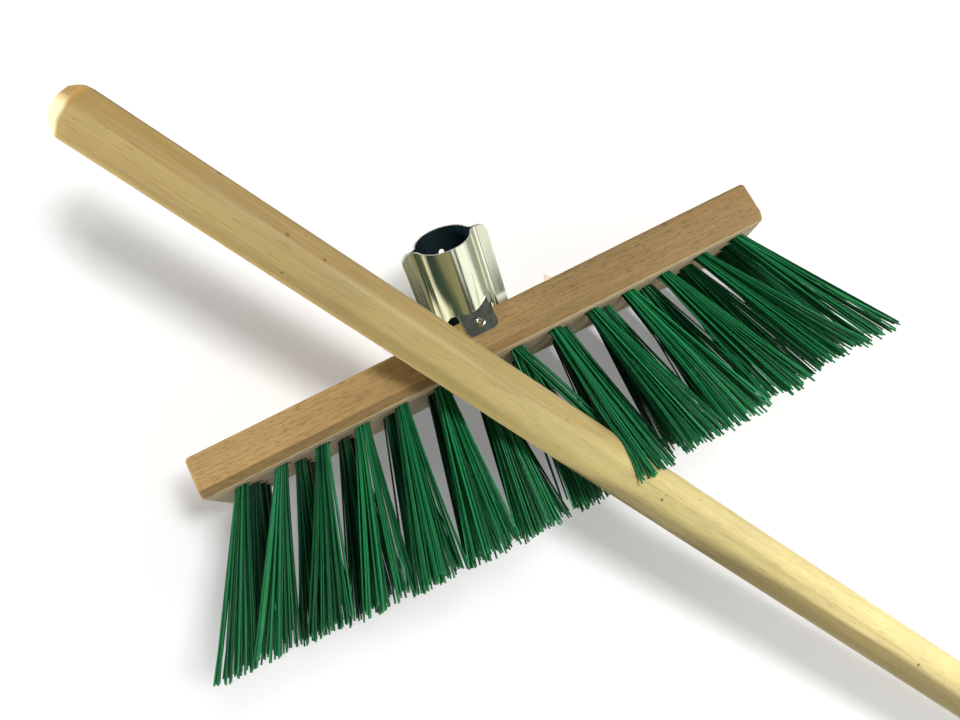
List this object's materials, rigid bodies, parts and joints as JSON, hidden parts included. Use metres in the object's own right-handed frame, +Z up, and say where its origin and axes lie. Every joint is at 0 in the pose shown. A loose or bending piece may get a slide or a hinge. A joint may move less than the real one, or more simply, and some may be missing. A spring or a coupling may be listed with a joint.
{
  "type": "yard broom",
  "caption": "Stiff yard broom lying down: wooden block, rows of splayed green bristle tufts, leaning pressed steel socket, and a loose round wooden handle laid across it.",
  "frame": {"origin": "on the floor the broom lies on, under the middle of its bounding box", "axes": "+Z up from the floor; +X along the block, from its left end to its right one with the bristle tips nearest the viewer; +Y from the bristle tips towards the socket, about along the handle"},
  "size_m": [0.6936, 1.04, 0.102],
  "materials": {
    "beech": "planed, bare",
    "pine": "clear varnish",
    "zinc": "bright zinc plate",
    "bristle": "drawn plastic fibre"
  },
  "bodies": {
    "head": {"block": "beech", "foot_eyelet": "zinc", "socket_front_shell": "zinc", "socket_rear_shell": "zinc", "tab_eyelet": "zinc", "tuft_1_01": "bristle", "tuft_1_02": "bristle", "tuft_1_03": "bristle", "tuft_1_04": "bristle", "tuft_1_05": "bristle", "tuft_1_06": "bristle", "tuft_1_07": "bristle", "tuft_1_08": "bristle", "tuft_1_09": "bristle", "tuft_1_10": "bristle", "tuft_1_11": "bristle", "tuft_1_12": "bristle", "tuft_1_13": "bristle", "tuft_1_14": "bristle", "tuft_2_01": "bristle", "tuft_2_02": "bristle", "tuft_2_03": "bristle", "tuft_2_04": "bristle", "tuft_2_05": "bristle", "tuft_2_06": "bristle", "tuft_2_07": "bristle", "tuft_2_08": "bristle", "tuft_2_09": "bristle", "tuft_2_10": "bristle", "tuft_2_11": "bristle", "tuft_2_12": "bristle", "tuft_3_01": "bristle", "tuft_3_02": "bristle", "tuft_3_03": "bristle", "tuft_3_04": "bristle", "tuft_3_05": "bristle", "tuft_3_06": "bristle", "tuft_3_07": "bristle", "tuft_3_08": "bristle", "tuft_3_09": "bristle", "tuft_3_10": "bristle", "tuft_3_11": "bristle", "tuft_3_12": "bristle", "tuft_4_01": "bristle", "tuft_4_02": "bristle", "tuft_4_03": "bristle", "tuft_4_04": "bristle", "tuft_4_05": "bristle", "tuft_4_06": "bristle", "tuft_4_07": "bristle", "tuft_4_08": "bristle", "tuft_4_09": "bristle", "tuft_4_10": "bristle", "tuft_4_11": "bristle", "tuft_4_12": "bristle"},
    "handle": {"handle": "pine"}
  },
  "joints": [
    {"name": "handle_draw", "type": "slide", "parent": "head", "child": "handle", "axis": [-0.5091, 0.8585, 0.0617], "range_m": [0, 0.95]}
  ]
}
